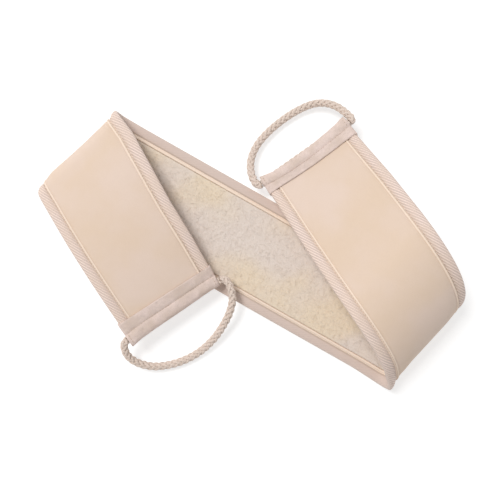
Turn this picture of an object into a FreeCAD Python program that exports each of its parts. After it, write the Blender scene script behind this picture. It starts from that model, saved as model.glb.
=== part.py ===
import FreeCAD, Part
import math
import os

from FreeCAD import Matrix, Vector

# Loofah back scrubber: a long padded strap with a rope loop at each end.  It lies with its middle
# flat, loofah side up, and both ends are folded over the middle by slanted U-bends.
# Flat strap coordinates: s along the strap, t across it, n up through its thickness, in mm.
# The origin is under the centre of the middle panel, X runs along it, and Z is up.

PAD_THICKNESS = 8.0
MID_LAYER = PAD_THICKNESS / 2
BODY_GAP = 0.3            # between neighbouring segments of the strap
STATION_TURN = 12.0       # greatest turn between two sections of a bend, degrees

# Folds: slant of the fold line, where the bend starts, its arcs as (radius, turn, hinges)
RIGHT_SLANT = -13.3
RIGHT_START = 165.0
RIGHT_ARCS = [(11.5, 94.0, 2), (61.0, 108.0, 2)]
RIGHT_END = 440.5
LEFT_SLANT = -14.0
LEFT_START = 166.0
LEFT_ARCS = [(10.6, 164.0, 3), (260.0, 30.0, 0)]
LEFT_END = 372.5

# Half outlines of the layers across the strap, (t, n), from the centre outwards and back
BACK_CLOTH = [(36.5, 0.0), (39.2, 1.35), (48.0, 1.95), (48.0, 2.75), (39.0, 2.2), (36.3, 0.9)]
FOAM = [(36.0, 1.05), (38.8, 2.4), (47.0, 2.95), (47.0, 3.55), (38.8, 3.9), (36.0, 4.95)]
LOOFAH = [(36.3, 5.1), (38.9, 4.05), (48.0, 3.7), (48.0, 5.2), (39.2, 6.15), (36.5, 8.0)]
EDGE_TAPE = [(39.5, 0.3), (48.8, 0.9), (50.0, 2.1), (50.0, 5.1), (48.8, 6.3), (39.5, 7.2),
             (39.5, 6.3), (48.3, 5.4), (49.1, 4.7), (49.1, 2.5), (48.3, 1.8), (39.5, 1.2)]
SEAM_OFFSET = 41.0        # seam thread from the centre line
THREAD_WIDTH = 0.6
UPPER_THREAD = (7.2, 7.6)
LOWER_THREAD = (0.0, 0.25)

# End bands: cotton tape folded over the strap's end, with a channel for the rope
BAND_DEPTH = 23.0
BAND_WIDTH = 102.0
BAND_CLOTH = 1.0
BAND_SLOT_DEPTH = 12.0
SLOT_CLEARANCE = 0.15
CHANNEL_RADIUS = 5.7
ROPE_DIAMETER = 7.5
BORE_RADIUS = ROPE_DIAMETER / 2 + 0.3
CHANNEL_OFFSET = -CHANNEL_RADIUS
ROPE_MOUTH = BAND_WIDTH / 2 + 0.5
STITCH_ROW = -13.0
STITCH_END = -22.0
STITCH_HALF = 45.0
STITCH_HEIGHT = 0.35

# Rope routes outside the bands, (beyond the strap's end, across, height) in the end panel's frame
RIGHT_ROUTE = [(-5.7, -51.5, 4.0), (-5.7, -56.0, 4.0), (-1.5, -59.3, 4.2), (5.5, -60.0, 4.5),
               (14.5, -57.0, 4.8), (23.5, -49.0, 4.3), (30.5, -35.5, 4.0), (34.5, -17.5, 4.2),
               (35.5, 3.0, 5.7), (33.5, 23.0, 7.0), (28.5, 39.5, 7.9), (21.0, 51.0, 8.0),
               (11.5, 57.5, 7.6), (3.0, 59.8, 6.6), (-3.2, 59.0, 5.2), (-5.7, 56.0, 4.0),
               (-5.7, 51.5, 4.0)]
LEFT_ROUTE = [(-5.7, 51.5, 4.0), (-5.7, 56.5, 4.0), (0.5, 61.5, 6.5), (10.0, 63.5, 9.8),
              (22.0, 59.0, 12.0), (33.5, 47.5, 12.3), (41.0, 27.5, 11.0), (43.0, 6.0, 9.0),
              (38.0, -14.5, 5.3), (29.0, -31.0, 1.0), (20.5, -44.5, -2.0), (12.5, -53.5, -2.8),
              (4.5, -58.0, -1.6), (-2.0, -59.3, 1.2), (-5.7, -56.0, 4.0), (-5.7, -51.5, 4.0)]


class Fold:
    """One end of the strap: a slanted U-bend and the straight end panel beyond it."""

    def __init__(self, sign, slant, start, arcs, strap_end):
        self.sign = sign
        self.slant = math.radians(slant)
        self.start = start
        self.arcs = [(radius, math.radians(turn), hinges) for radius, turn, hinges in arcs]
        self.strap_end = strap_end
        self.along = Vector(math.cos(self.slant), math.sin(self.slant), 0)
        self.across = Vector(-math.sin(self.slant), math.cos(self.slant), 0)

    def bend_length(self):
        return sum(radius * turn for radius, turn, _ in self.arcs)

    def profile(self, w):
        """Run, rise and tangent angle of the mid layer at w beyond the start of the bend."""
        run, rise, angle = min(w, 0.0), 0.0, 0.0
        left = max(w, 0.0)
        for radius, turn, _ in self.arcs:
            part = min(left, radius * turn)
            after = angle + part / radius
            run += radius * (math.sin(after) - math.sin(angle))
            rise += radius * (math.cos(angle) - math.cos(after))
            angle = after
            left -= part
        run += left * math.cos(angle)
        rise += left * math.sin(angle)
        return run, rise, angle

    def lift(self, w, v, n):
        """The point at w and n on the line v, turned half round for the left end."""
        run, rise, angle = self.profile(w)
        tilt = n - MID_LAYER
        flat = self.along * (self.start + run - tilt * math.sin(angle)) + self.across * v
        return Vector(self.sign * flat.x, self.sign * flat.y, MID_LAYER + rise + tilt * math.cos(angle))

    def on_ruling(self, w, t, n):
        """Point of the strap at t and n on the slanted section w."""
        side = self.sign * t
        v = side / math.cos(self.slant) - (self.start + w) * math.tan(self.slant)
        return self.lift(w, v, n)

    def on_strap(self, s, t, n):
        """Point of the strap at its flat coordinates, s counted outwards."""
        side = self.sign * t
        w = s * math.cos(self.slant) + side * math.sin(self.slant) - self.start
        v = side * math.cos(self.slant) - s * math.sin(self.slant)
        return self.lift(w, v, n)

    def zones(self):
        """Start and end of each stretch that one hinge opens, and its turn."""
        found = []
        at = 0.0
        for radius, turn, hinges in self.arcs:
            length = radius * turn
            for index in range(hinges):
                step = length / hinges
                found.append((at + index * step, at + (index + 1) * step, math.degrees(turn) / hinges))
            at += length
        return found

    def hinges(self):
        return [(begin + end) / 2 for begin, end, _ in self.zones()]

    def stations(self, low, high):
        """Sections from low to high, close enough together to follow each arc."""
        found = [low]
        at = 0.0
        for radius, turn, _ in self.arcs:
            begin = max(low, at)
            end = min(high, at + radius * turn)
            if end > begin:
                steps = math.ceil(math.degrees((end - begin) / radius) / STATION_TURN)
                found += [begin + (end - begin) * k / steps for k in range(steps + 1)]
            at += radius * turn
        found.append(high)
        return sorted(set(round(w, 6) for w in found))

    def panel_matrix(self):
        """Frame of the end panel at the middle of the strap's end: outwards, across, up."""
        origin = self.on_strap(self.strap_end, 0, 0)
        out = self.on_strap(self.strap_end + 1, 0, 0) - origin
        up = self.on_strap(self.strap_end, 0, 1) - origin
        side = up.cross(out)
        return Matrix(out.x, side.x, up.x, origin.x, out.y, side.y, up.y, origin.y,
                      out.z, side.z, up.z, origin.z, 0, 0, 0, 1)


def both_halves(half):
    """Closed outline across the strap from its half."""
    return half + [(-t, n) for t, n in reversed(half)]


def one_side(outline, side):
    return [(side * t, n) for t, n in outline]


def thread_outline(side, heights):
    inner = side * (SEAM_OFFSET - THREAD_WIDTH / 2)
    outer = side * (SEAM_OFFSET + THREAD_WIDTH / 2)
    low, high = heights
    return [(inner, low), (outer, low), (outer, high), (inner, high)]


def quad(a, b, c, d):
    """Face between the edges a-b and d-c, flat where it can be."""
    normal = (b - a).cross(c - a)
    if abs((d - a).dot(normal)) < 1e-7 * normal.Length:
        return Part.Face(Part.makePolygon([a, b, c, d, a]))
    return Part.makeRuledSurface(Part.LineSegment(a, b).toShape(), Part.LineSegment(d, c).toShape())


def skin(sections):
    """Closed solid through sections with the same number of corners."""
    faces = [Part.Face(Part.makePolygon(ring + [ring[0]])) for ring in (sections[0], sections[-1])]
    count = len(sections[0])
    for ring, following in zip(sections, sections[1:]):
        for k in range(count):
            after = (k + 1) % count
            faces.append(quad(ring[k], ring[after], following[after], following[k]))
    shell = Part.Shell(faces)
    shell.sewShape()
    solid = Part.Solid(shell)
    if solid.Volume < 0:
        solid.reverse()
    return solid


def ruled_sections(fold, outline, low, high):
    return [[fold.on_ruling(w, t, n) for t, n in outline] for w in fold.stations(low, high)]


def middle_span(outline, left, right):
    """Strap layer from the left end's first hinge to the right end's first hinge."""
    before = ruled_sections(left, outline, 0.0, left.hinges()[0] - BODY_GAP / 2)
    after = ruled_sections(right, outline, 0.0, right.hinges()[0] - BODY_GAP / 2)
    return skin(list(reversed(before)) + after)


def fold_span(outline, fold, index):
    """Strap layer between two neighbouring hinges of a fold."""
    hinges = fold.hinges()
    return skin(ruled_sections(fold, outline, hinges[index] + BODY_GAP / 2,
                               hinges[index + 1] - BODY_GAP / 2))


def panel_span(outline, fold):
    """Strap layer from a fold's last hinge to the end of the pad, inside the end band."""
    sections = ruled_sections(fold, outline, fold.hinges()[-1] + BODY_GAP / 2, fold.bend_length())
    pad_end = fold.strap_end - BAND_SLOT_DEPTH - SLOT_CLEARANCE
    sections.append([fold.on_strap(pad_end, t, n) for t, n in outline])
    return skin(sections)


def thread_spans(make_span):
    """The four seam threads of a segment: both edges, both faces."""
    return Part.Compound([make_span(thread_outline(side, heights))
                          for side in (1, -1) for heights in (UPPER_THREAD, LOWER_THREAD)])


def end_band(fold):
    """Cotton tape round the strap's end, sewn shut between the pad and the rope's channel."""
    half = BAND_WIDTH / 2
    slab = Part.makeBox(BAND_DEPTH + CHANNEL_OFFSET, BAND_WIDTH, PAD_THICKNESS + 2 * BAND_CLOTH,
                        Vector(-BAND_DEPTH, -half, -BAND_CLOTH))
    centre = Vector(CHANNEL_OFFSET, -half, MID_LAYER)
    tube = Part.makeCylinder(CHANNEL_RADIUS, BAND_WIDTH, centre, Vector(0, 1, 0))
    bore = Part.makeCylinder(BORE_RADIUS, BAND_WIDTH + 2, centre - Vector(0, 1, 0), Vector(0, 1, 0))
    slot = Part.makeBox(BAND_DEPTH - BAND_SLOT_DEPTH + 1, BAND_WIDTH + 2,
                        PAD_THICKNESS + 2 * SLOT_CLEARANCE,
                        Vector(-BAND_DEPTH - 1, -half - 1, -SLOT_CLEARANCE))
    band = slab.fuse(tube).removeSplitter().cut(bore).cut(slot)
    return band.Solids[0].transformGeometry(fold.panel_matrix())


def band_stitching(fold):
    """Stitched row along the middle of the band, turned outwards at both ends, on both faces."""
    rows = []
    faces = (PAD_THICKNESS + BAND_CLOTH + SLOT_CLEARANCE,
             -BAND_CLOTH - SLOT_CLEARANCE - STITCH_HEIGHT)
    for low in faces:
        rows.append(Part.makeBox(THREAD_WIDTH, 2 * STITCH_HALF, STITCH_HEIGHT,
                                 Vector(STITCH_ROW, -STITCH_HALF, low)))
        for side in (STITCH_HALF, -STITCH_HALF - THREAD_WIDTH):
            rows.append(Part.makeBox(STITCH_ROW - STITCH_END, THREAD_WIDTH, STITCH_HEIGHT,
                                     Vector(STITCH_END, side, low)))
    return Part.Compound(rows).transformGeometry(fold.panel_matrix())


def rope_in_band(fold):
    """The rope's straight run through the band's channel, which the loop turns about."""
    run = Part.makeCylinder(ROPE_DIAMETER / 2, 2 * ROPE_MOUTH,
                            Vector(CHANNEL_OFFSET, -ROPE_MOUTH, MID_LAYER), Vector(0, 1, 0))
    return run.transformGeometry(fold.panel_matrix())


def rope_loop(name, fold, route):
    """Tube along the rope's route: straight runs joined by the largest tangent arcs."""
    points = [fold.panel_matrix().multVec(Vector(*place)) for place in route]
    edges = []
    radii = []
    at = points[0]
    for before, corner, after in zip(points, points[1:], points[2:]):
        into = (corner - before).normalize()
        out = (after - corner).normalize()
        half_turn = into.getAngle(out) / 2
        reach = 0.45 * min(corner.distanceToPoint(before), corner.distanceToPoint(after))
        radius = reach / math.tan(half_turn)
        radii.append(radius)
        first = corner - into * reach
        last = corner + out * reach
        inwards = (out - into).normalize()
        middle = corner + inwards * (radius / math.cos(half_turn) - radius)
        edges.append(Part.LineSegment(at, first).toShape())
        edges.append(Part.Arc(first, middle, last).toShape())
        at = last
    edges.append(Part.LineSegment(at, points[-1]).toShape())
    path = Part.Wire(edges)
    ring = Part.Wire(Part.Circle(points[0], points[1] - points[0], ROPE_DIAMETER / 2).toShape())
    tube = path.makePipeShell([ring], True, False)
    expected = math.pi * ROPE_DIAMETER ** 2 / 4 * path.Length
    print(name, "length %.1f" % path.Length, "volume ratio %.4f" % (tube.Volume / expected),
          "lowest %.1f" % tube.BoundBox.ZMin, "radii", [round(radius, 1) for radius in radii])
    return tube


def strap_layers(make_span):
    """The pieces of one segment of the strap, by the name of the layer."""
    return {
        "back_cloth": make_span(both_halves(BACK_CLOTH)),
        "foam": make_span(both_halves(FOAM)),
        "loofah": make_span(both_halves(LOOFAH)),
        "upper_edge_tape": make_span(one_side(EDGE_TAPE, 1)),
        "lower_edge_tape": make_span(one_side(EDGE_TAPE, -1)),
        "seam_thread": thread_spans(make_span),
    }


def strap_segments(folds):
    """Every segment of the strap and the way its layers are made."""
    segments = {"middle": lambda outline: middle_span(outline, folds["left"], folds["right"])}
    for side, fold in folds.items():
        for index in range(len(fold.hinges()) - 1):
            segments["%s_fold_%d" % (side, index + 1)] = (
                lambda outline, fold=fold, index=index: fold_span(outline, fold, index))
        segments[side + "_panel"] = lambda outline, fold=fold: panel_span(outline, fold)
    return segments


def make_folds():
    return {"left": Fold(-1, LEFT_SLANT, LEFT_START, LEFT_ARCS, LEFT_END),
            "right": Fold(1, RIGHT_SLANT, RIGHT_START, RIGHT_ARCS, RIGHT_END)}


def make_nodes():
    folds = make_folds()
    nodes = {}
    for segment, make_span in strap_segments(folds).items():
        for layer, shape in strap_layers(make_span).items():
            nodes[segment + "_" + layer] = shape
    for side, route in (("left", LEFT_ROUTE), ("right", RIGHT_ROUTE)):
        fold = folds[side]
        nodes[side + "_end_band"] = end_band(fold)
        nodes[side + "_band_stitching"] = band_stitching(fold)
        nodes[side + "_rope_in_band"] = rope_in_band(fold)
        nodes[side + "_rope_loop"] = rope_loop(side + "_rope_loop", fold, route)
    return nodes


def main():
    os.makedirs("parts", exist_ok=True)
    nodes = make_nodes()
    for name, shape in nodes.items():
        if not shape.isValid():
            print("not valid:", name)
        shape.exportStep("parts/%s.step" % name)
    print(len(nodes), "nodes")


if __name__ == "__main__":
    main()
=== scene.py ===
"""Loofah back scrubber: a padded strap that lies with both ends folded over its middle."""

import math

import bpy
import numpy as np
from bpy.props import FloatProperty, FloatVectorProperty, IntProperty, PointerProperty
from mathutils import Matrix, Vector


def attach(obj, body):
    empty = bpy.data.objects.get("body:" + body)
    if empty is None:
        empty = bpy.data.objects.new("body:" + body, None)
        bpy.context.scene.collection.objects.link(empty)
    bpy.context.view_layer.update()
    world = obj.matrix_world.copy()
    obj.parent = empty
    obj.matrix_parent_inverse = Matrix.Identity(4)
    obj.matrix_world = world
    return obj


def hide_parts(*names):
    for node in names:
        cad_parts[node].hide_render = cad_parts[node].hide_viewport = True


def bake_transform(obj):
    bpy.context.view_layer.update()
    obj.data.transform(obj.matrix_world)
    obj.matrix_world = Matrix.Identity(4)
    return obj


bl_info = {
    "name": "Loofah back scrubber",
    "version": (1, 0, 0),
    "blender": (4, 5, 0),
    "location": "3D View > Sidebar > Scrubber",
    "description": "Builds the padded strap, its bands, stitches and rope loops",
    "category": "Add Mesh",
}

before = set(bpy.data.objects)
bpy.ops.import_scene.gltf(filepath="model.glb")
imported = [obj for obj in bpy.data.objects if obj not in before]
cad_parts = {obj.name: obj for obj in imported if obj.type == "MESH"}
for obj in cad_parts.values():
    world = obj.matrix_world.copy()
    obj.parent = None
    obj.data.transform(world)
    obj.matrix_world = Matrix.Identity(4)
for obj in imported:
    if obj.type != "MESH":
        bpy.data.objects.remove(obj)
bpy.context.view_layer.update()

MM = 0.001

MID_LAYER = 4.0 * MM      # height of the strap's middle layer above its back

# Folds: side, slant of the fold line in degrees, start of the bend, its arcs as (radius, turn in
# degrees, hinges), and the strap's end, all from the strap's middle
RIGHT_FOLD = (1, -13.3, 165.0 * MM, [(11.5 * MM, 94.0, 2), (61.0 * MM, 108.0, 2)], 440.5 * MM)
LEFT_FOLD = (-1, -14.0, 166.0 * MM, [(10.6 * MM, 164.0, 3), (260.0 * MM, 30.0, 0)], 372.5 * MM)
FLAT_STEP = 2.5 * MM      # between column lines on the flat lengths

# How the cloth leaves its plain folded shape, in mm.  EDGES: past the start of the bend, outward
# shift of the edge at +t, and of the edge at -t.  FLARE: across the strap, outward shift of the
# fold itself.  FLARE_REACH: where round the bend the flare is most, and how far it reaches.
EDGES = {"left": [(0, 0, 0), (20, 3.0, 0), (42, 5.0, 0), (75, 3.2, 0), (115, 0.6, 0),
                  (150, 0, 0), (180, -1.8, 0), (207, -4.4, 0)],
         "right": [(0, 0, 0), (120, 0.3, 0), (160, 0.8, 0), (205, 0.2, -0.5), (250, -2.4, -2.0),
                   (276, -3.5, -3.2)]}
FLARE = {"left": [(-52, 1.0), (-42, 2.6), (-28, 2.6), (-10, 0.8), (10, -0.8), (28, -1.5),
                  (42, -0.4), (52, 2.2)],
         "right": [(-52, 9.2), (-44, 5.4), (-34, 2.2), (-20, 0.4), (52, 0)]}
FLARE_REACH = {"left": (15.0, 34.0), "right": (14.0, 34.0)}

SEAM = 36.9 * MM          # half width of the pad between its seams
PAD_SHORT = 12.2 * MM     # from the strap's end to the end of the pad inside the band
PAD_MARGIN = 26 * MM      # from the strap's end to the end of the swelling pad
PAD_THICKNESS = 8 * MM
CHANNEL = -5.7            # rope's place inside the band, in mm beyond the strap's end

# Rope routes outside the bands, (beyond the strap's end, across, height) in the end panel's frame
RIGHT_ROUTE = [(-5.7, -49.5, 4.0), (-5.7, -52.4, 4.0), (-2.3, -53.8, 4.2), (5.2, -53.4, 4.5),
               (14.0, -50.6, 4.8), (23.2, -44.0, 4.3), (30.8, -32.6, 4.0), (35.4, -17.0, 4.2),
               (37.8, 2.5, 5.7), (37.2, 20.6, 7.0), (33.6, 34.8, 7.9), (26.4, 44.2, 8.0),
               (15.8, 50.2, 7.6), (5.2, 52.4, 6.6), (-2.3, 53.2, 5.2), (-5.7, 52.4, 4.0),
               (-5.7, 49.5, 4.0)]
LEFT_ROUTE = [(-5.7, 51.5, 4.0), (-5.7, 56.0, 4.3), (1.2, 59.9, 6.5), (10.5, 61.4, 9.8),
              (22.0, 57.2, 12.0), (33.8, 46.4, 12.3), (42.0, 27.3, 11.0), (44.6, 6.0, 9.0),
              (40.2, -14.0, 5.3), (32.2, -29.6, 1.0), (23.6, -42.0, -2.0), (14.4, -50.4, -2.8),
              (5.6, -54.2, -1.6), (-1.6, -55.0, 1.2), (-5.7, -53.2, 3.6), (-5.7, -50.0, 4.0)]

# Closed outlines across the strap, (t, n) in mm.  Halves run from the centre outwards and back.
CLOTH_EDGE = [(37.1, 0.8), (37.4, 0.72), (37.8, 0.2), (38.4, 0.0), (39.0, 0.1), (39.5, 0.6),
              (39.9, 1.3), (40.3, 1.75), (41.2, 1.95), (44.5, 1.98), (47.4, 2.05), (47.9, 2.4),
              (47.4, 2.8), (43.0, 2.6), (39.0, 2.3), (37.4, 1.8), (36.6, 1.3)]
LOOFAH_EDGE = [(36.9, 7.6), (37.3, 7.0), (37.9, 6.4), (40.0, 6.0), (43.0, 5.7), (47.5, 5.15),
               (48.0, 4.4), (47.5, 3.75), (43.0, 3.9), (38.9, 4.1), (36.5, 5.0)]
FOAM_EDGE = [(36.0, 4.75), (38.8, 3.9), (43.0, 3.7), (47.0, 3.6), (47.0, 3.0), (43.0, 2.8),
             (38.8, 2.5), (36.4, 1.5)]
TAPE = [(40.3, 1.65), (40.4, 1.4), (41.1, 1.2), (42.3, 0.9), (43.6, 0.52), (45.2, 0.3),
        (46.8, 0.42), (48.2, 0.85), (49.3, 1.5), (49.9, 2.3), (50.1, 3.6), (49.9, 4.9),
        (49.3, 5.75), (48.2, 6.4), (46.5, 6.85), (44.5, 7.1), (42.6, 7.12), (41.5, 6.95),
        (40.9, 6.7), (40.5, 6.45), (40.2, 6.7), (39.8, 7.4), (39.2, 7.95), (38.5, 8.1),
        (37.9, 7.9), (37.6, 7.4), (37.8, 6.9), (38.7, 6.6), (40.4, 6.2), (43.5, 5.98),
        (46.5, 5.65), (48.2, 5.3), (48.9, 4.7), (49.1, 3.6), (48.9, 2.65), (48.2, 2.0),
        (46.5, 1.65), (43.5, 1.55), (41.2, 1.75)]
FACE_HALF = 36.6          # half width of the open part of both faces
LIP = (19, 26)            # points of the outline that are the piped lip
RIDGE = (2, 7)            # points of the cloth's edge that are the fine ridge beside the tape
# Back cloth: its face (half width, height), its edge, its hidden face, and points across the face
CLOTH_LAYER = ((FACE_HALF, 0.35), CLOTH_EDGE, (36.2, 1.2), 27)

# Rows of stitches along both edges, (t, n, pitch) in mm: beside the loofah, and beside the cloth
SEAM_ROWS = ((37.35, 7.3, 3.0), (39.45, 0.42, 2.6))
STITCH_POINTS = 4
WAVE_COUNT = 9            # waves added up in an uneven surface


class Fold:
    """One end of the strap: a slanted U-bend and the straight end panel beyond it."""

    def __init__(self, side, sign, slant, start, arcs, strap_end):
        self.edges = np.array(EDGES[side], float).T * MM
        self.flare = np.array(FLARE[side], float).T * MM
        self.flare_middle, self.flare_reach = (value * MM for value in FLARE_REACH[side])
        self.sign = sign
        self.slant = math.radians(slant)
        self.start = start
        self.arcs = [(radius, math.radians(turn), hinges) for radius, turn, hinges in arcs]
        self.strap_end = strap_end
        self.along = np.array([math.cos(self.slant), math.sin(self.slant)])
        self.across = np.array([-math.sin(self.slant), math.cos(self.slant)])

    def profile(self, w):
        """Run, rise and tangent angle of the mid layer at w beyond the start of the bend."""
        run = np.minimum(w, 0.0)
        rise = np.zeros_like(run)
        angle = np.zeros_like(run)
        left = np.maximum(w, 0.0)
        for radius, turn, _ in self.arcs:
            part = np.minimum(left, radius * turn)
            after = angle + part / radius
            run = run + radius * (np.sin(after) - np.sin(angle))
            rise = rise + radius * (np.cos(angle) - np.cos(after))
            angle = after
            left = left - part
        return run + left * np.cos(angle), rise + left * np.sin(angle), angle

    def place(self, s, t, n):
        """Places of the strap's points, s counted outwards from the middle."""
        share = np.clip(t / (50 * MM), -1.05, 1.05)
        past = s - self.start
        upper = np.interp(past, self.edges[0], self.edges[1])
        lower = np.interp(past, self.edges[0], self.edges[2])
        shifted = t + upper * np.maximum(share, 0) + lower * np.minimum(share, 0)
        side = self.sign * shifted
        w = s * math.cos(self.slant) + side * math.sin(self.slant) - self.start
        v = side * math.cos(self.slant) - s * math.sin(self.slant)
        near = np.clip(1 - ((w - self.flare_middle) / self.flare_reach) ** 2, 0, 1) ** 2
        flare = np.interp(t, self.flare[0], self.flare[1]) * near * self.sign
        places = self.lift(w, v, n)
        places[..., 0] += flare * self.along[0]
        places[..., 1] += flare * self.along[1]
        return places

    def lift(self, w, v, n):
        """Places of points given across and along the fold line."""
        run, rise, angle = self.profile(w)
        tilt = n - MID_LAYER
        u = self.start + run - tilt * np.sin(angle)
        x = u * self.along[0] + v * self.across[0]
        y = u * self.along[1] + v * self.across[1]
        return np.stack([self.sign * x, self.sign * y, MID_LAYER + rise + tilt * np.cos(angle)], -1)

    def ruling(self, w):
        """Flat line of the slanted section at w: where it crosses t = 0, and its slope with t."""
        centre = (self.start + w) / math.cos(self.slant)
        return self.sign * centre, -math.tan(self.slant)

    def zones(self):
        """Start, end and column step of each stretch that one hinge opens."""
        found = []
        at = 0.0
        for radius, turn, hinges in self.arcs:
            step = radius * turn / max(hinges, 1)
            columns = min(2.5 * MM, 0.085 * radius)
            found += [(at + k * step, at + (k + 1) * step, columns) for k in range(hinges)]
            at += radius * turn
        return found

    def inner_point(self, w, v):
        """Point of the ruling w just over the bend's inner face."""
        return Vector(self.lift(np.array(w), np.array(v), np.array(8.4 * MM)))

    def panel_frame(self):
        """Origin at the middle of the strap's end, and the directions outwards, across and up."""
        zero = np.array(0.0)
        end = np.array(self.strap_end)
        origin = Vector(self.place(end, zero, zero))
        out = (Vector(self.place(end + 10 * MM, zero, zero)) - origin).normalized()
        up = (Vector(self.place(end, zero, zero + 10 * MM)) - origin).normalized()
        return origin, out, up.cross(out), up


FOLDS = {"left": Fold("left", *LEFT_FOLD), "right": Fold("right", *RIGHT_FOLD)}


class Run:
    """One length of the strap between two lines across it, bending over one hinge."""

    def __init__(self, side, index, stations, bodies, zone, last):
        self.name = "%s_%d" % (side, index + 1)
        self.side = side
        self.stations = stations
        self.bodies = bodies
        self.zone = zone
        self.last = last

    def lines(self):
        """Crossing of the strap's centre line, and slope, of every column line."""
        found = [self.stations[0][:2]]
        for near, far in zip(self.stations, self.stations[1:]):
            count = max(3, round(abs(far[0] - near[0]) / far[2]))
            for k in range(1, count + 1):
                share = k / count
                found.append((near[0] + (far[0] - near[0]) * share,
                              near[1] + (far[1] - near[1]) * share))
        return np.array(found)

    def between(self, share, t):
        """Flat x at a share of the way along the run, t across it."""
        near = self.stations[0]
        far = self.stations[-1]
        start = near[0] + near[1] * t
        return start + (far[0] + far[1] * t - start) * share

    def length(self):
        return abs(self.stations[-1][0] - self.stations[0][0])

    def place(self, x, t, n):
        fold = FOLDS[self.side]
        return fold.place(fold.sign * x, t, n)

    def replaced(self, layer):
        """The CAD nodes of one layer that this run stands for."""
        bodies = self.bodies if self.last else self.bodies[:1]
        return ["%s_%s" % (body, layer) for body in bodies]

    def bend(self, piece):
        """Bakes the finished piece's transform into its mesh; the piece already lies bent from its
        build, and the hinge's inner points found here are not used.
        """
        fold = FOLDS[self.side]
        middle = (self.zone[0] + self.zone[1]) / 2
        v = -(fold.start + middle) * math.tan(fold.slant)
        fold.inner_point(self.zone[0], v)
        fold.inner_point(self.zone[1], v)
        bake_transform(piece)


def strap_runs():
    """The runs of both ends, each from the middle outwards."""
    runs = []
    for side, fold in FOLDS.items():
        zones = fold.zones()
        bodies = ["middle"] + ["%s_fold_%d" % (side, k) for k in range(1, len(zones))]
        bodies.append(side + "_panel")
        near = (0.0, 0.0, FLAT_STEP)
        for index, zone in enumerate(zones):
            stations = [near]
            if index == 0:
                stations.append(fold.ruling(0.0) + (FLAT_STEP,))
            stations.append(fold.ruling(zone[1]) + (zone[2],))
            last = index == len(zones) - 1
            if last:
                stations.append((fold.sign * (fold.strap_end - PAD_SHORT), 0.0, FLAT_STEP))
            runs.append(Run(side, index, stations, bodies[index:index + 2], zone, last))
            near = stations[-1]
    return runs


# ---------------------------------------------------------------- mesh helpers

def fresh_start():
    """Object mode with nothing selected."""
    if bpy.context.object and bpy.context.object.mode != "OBJECT":
        bpy.ops.object.mode_set(mode="OBJECT")
    bpy.ops.object.select_all(action="DESELECT")


def pick(piece):
    """Object mode with only this piece selected and active."""
    fresh_start()
    piece.select_set(True)
    bpy.context.view_layer.objects.active = piece


def new_grid(name, across, around):
    """A flat grid with that many cells each way, one unit wide."""
    fresh_start()
    bpy.ops.mesh.primitive_grid_add(x_subdivisions=across, y_subdivisions=around, size=1.0)
    piece = bpy.context.object
    piece.name = name
    piece.data.name = name
    return piece


def grid_places(piece, across, around):
    """Column and row of every vertex of a grid."""
    flat = np.zeros(len(piece.data.vertices) * 3)
    piece.data.vertices.foreach_get("co", flat)
    flat = flat.reshape(-1, 3)
    column = np.rint((flat[:, 0] + 0.5) * across).astype(int)
    row = np.rint((flat[:, 1] + 0.5) * around).astype(int)
    return column, row


def set_places(piece, places):
    piece.data.vertices.foreach_set("co", np.asarray(places, np.float32).ravel())
    piece.data.update()


def get_places(piece):
    places = np.zeros(len(piece.data.vertices) * 3)
    piece.data.vertices.foreach_get("co", places)
    return places.reshape(-1, 3)


def store_vectors(piece, name, values):
    attribute = piece.data.attributes.new(name, "FLOAT_VECTOR", "POINT")
    attribute.data.foreach_set("vector", np.asarray(values, np.float32).ravel())


def read_vectors(piece, name):
    values = np.zeros(len(piece.data.vertices) * 3, np.float32)
    piece.data.attributes[name].data.foreach_get("vector", values)
    return values.reshape(-1, 3)


def edit(piece, *steps):
    """Runs edit-mode operators on the piece, each given as a function."""
    pick(piece)
    bpy.ops.object.mode_set(mode="EDIT")
    for step in steps:
        step()
    bpy.ops.object.mode_set(mode="OBJECT")


def close_seam():
    bpy.ops.mesh.select_all(action="SELECT")
    bpy.ops.mesh.remove_doubles(threshold=1e-6)


def close_ends():
    bpy.ops.mesh.select_all(action="SELECT")
    bpy.ops.mesh.fill_holes(sides=0)


def flip_faces():
    bpy.ops.mesh.select_all(action="SELECT")
    bpy.ops.mesh.flip_normals()


def signed_volume(piece):
    mesh = piece.data
    mesh.calc_loop_triangles()
    corners = np.zeros(len(mesh.loop_triangles) * 3, np.int32)
    mesh.loop_triangles.foreach_get("vertices", corners)
    a, b, c = get_places(piece)[corners.reshape(-1, 3)].transpose(1, 0, 2)
    return float(np.einsum("ij,ij->i", a, np.cross(b, c)).sum() / 6)


def face_outwards(piece):
    if signed_volume(piece) < 0:
        edit(piece, flip_faces)


def vertex_of_corner(mesh):
    corners = np.zeros(len(mesh.loops), np.int32)
    mesh.loops.foreach_get("vertex_index", corners)
    return corners


def shade_by_vectors(piece):
    """Smooth shading from the stored vectors, with the end caps flat."""
    mesh = piece.data
    normals = read_vectors(piece, "outward")[vertex_of_corner(mesh)]
    for face in mesh.polygons:
        if face.loop_total > 4:
            normals[face.loop_start:face.loop_start + face.loop_total] = face.normal
    mesh.polygons.foreach_set("use_smooth", np.ones(len(mesh.polygons), bool))
    mesh.normals_split_custom_set(normals.tolist())
    mesh.attributes.remove(mesh.attributes["outward"])


def store_flat_map(piece, values):
    """Gives every corner the flat place of its vertex, for patterns that follow the cloth."""
    layer = piece.data.uv_layers[0]
    layer.name = "flat"
    corners = vertex_of_corner(piece.data)
    layer.data.foreach_set("uv", np.asarray(values, np.float32)[corners].ravel())


def dress(piece, finish, slot):
    piece.data.materials.clear()
    piece.data.materials.append(bpy.data.materials[finish])


def apply_modifier(piece, kind, **settings):
    pick(piece)
    modifier = piece.modifiers.new(kind.title(), kind)
    for key, value in settings.items():
        setattr(modifier, key, value)
    bpy.ops.object.modifier_apply(modifier=modifier.name)


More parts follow.
